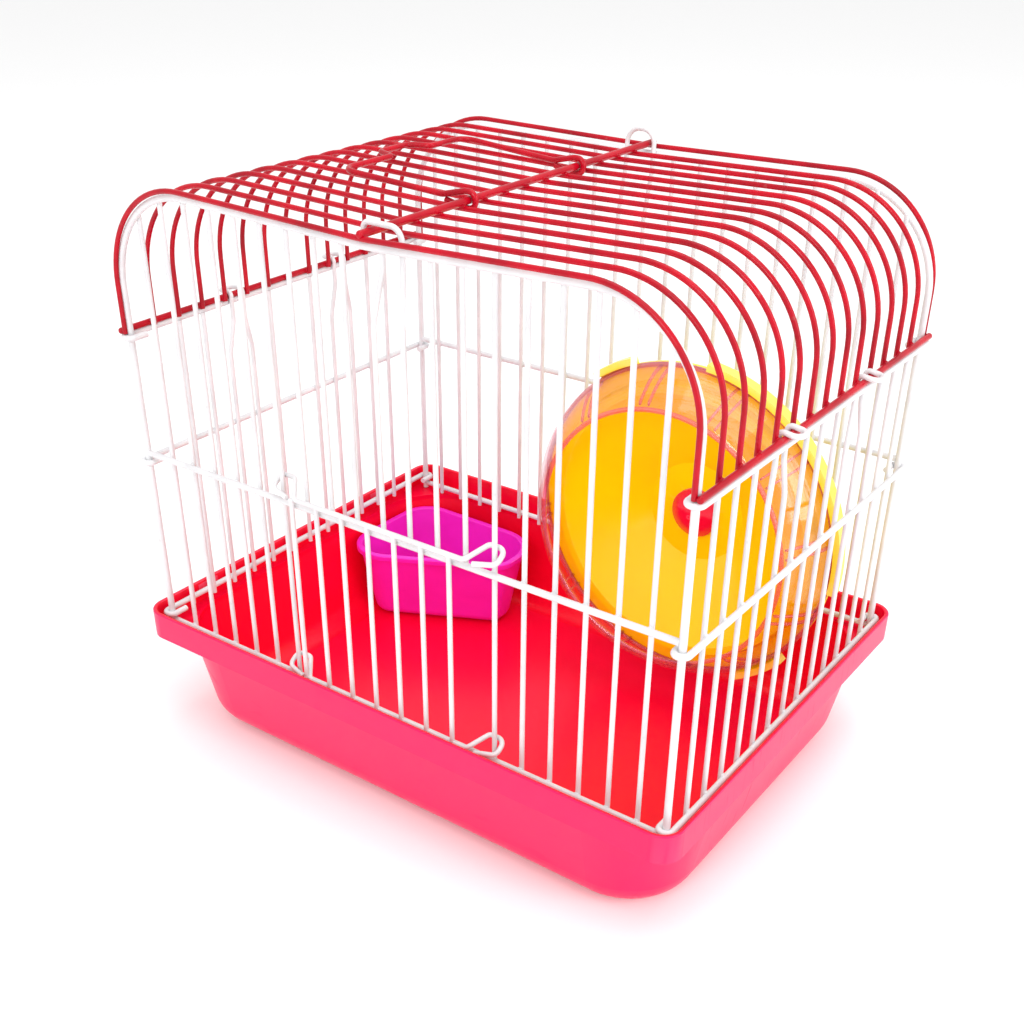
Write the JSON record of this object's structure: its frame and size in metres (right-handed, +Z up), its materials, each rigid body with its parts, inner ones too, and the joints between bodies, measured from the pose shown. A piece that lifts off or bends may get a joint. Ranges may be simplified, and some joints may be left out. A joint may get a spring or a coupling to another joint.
{
  "type": "hamster cage",
  "caption": "Small wire pet cage with a rounded bar roof, a lift-up front door, a folding top handle, a clear running wheel, a corner bowl and a plastic tray base.",
  "frame": {"origin": "middle of the tray's underside", "axes": "+X right along the long front side, +Y from the front door to the back panel, +Z up"},
  "size_m": [0.2348, 0.1724, 0.2129],
  "materials": {
    "white_wire": "gloss",
    "red_wire": "gloss",
    "tray_plastic": "gloss",
    "bowl_plastic": "gloss",
    "clear_pink": "clear",
    "yellow_plastic": "gloss",
    "hub_plastic": "gloss",
    "axle_plastic": "gloss"
  },
  "bodies": {
    "tray": {"tray": "tray_plastic", "tray_lugs": "tray_plastic"},
    "cage": {"front_arch": "white_wire", "front_bottom_rail": "white_wire", "front_mid_rail": "white_wire", "front_bars": "white_wire", "front_hoop": "white_wire", "back_arch": "white_wire", "back_bottom_rail": "white_wire", "back_mid_rail": "white_wire", "back_bars": "white_wire", "back_hoop": "white_wire", "left_bottom_rail": "white_wire", "left_mid_rail": "white_wire", "left_top_rail": "white_wire", "left_bars": "white_wire", "left_hoops": "white_wire", "right_bottom_rail": "white_wire", "right_mid_rail": "white_wire", "right_top_rail": "white_wire", "right_bars": "white_wire", "right_hoops": "white_wire", "roof_arches": "red_wire", "roof_end_arches": "red_wire", "roof_rail_left": "red_wire", "roof_rail_right": "red_wire", "cross_wire": "red_wire", "wheel_axle": "axle_plastic", "wheel_bracket": "yellow_plastic", "wheel_nut": "yellow_plastic"},
    "door": {"door_bottom_wire": "white_wire", "door_top_wire": "white_wire", "door_bars": "white_wire"},
    "handle": {"handle": "red_wire"},
    "wheel": {"wheel_drum": "clear_pink", "wheel_back": "yellow_plastic", "hub_cap": "hub_plastic"},
    "bowl": {"bowl": "bowl_plastic"}
  },
  "joints": [
    {"name": "cage_lift", "type": "slide", "parent": "tray", "child": "cage", "axis": [0, 0, 1], "range_m": [0, 0.08]},
    {"name": "door_slide", "type": "slide", "parent": "cage", "child": "door", "axis": [0, 0, 1], "range_m": [0, 0.058]},
    {"name": "handle_fold", "type": "hinge", "parent": "cage", "child": "handle", "pos_m": [0, 0, 0.20735], "axis": [0, 1, 0], "range_deg": [0, 170]},
    {"name": "wheel_spin", "type": "hinge", "parent": "cage", "child": "wheel", "pos_m": [0.0399, 0.05, 0.0775], "axis": [0, 1, 0], "continuous": true},
    {"name": "bowl_lift", "type": "slide", "parent": "tray", "child": "bowl", "axis": [0, 0, 1], "range_m": [0, 0.04]}
  ]
}
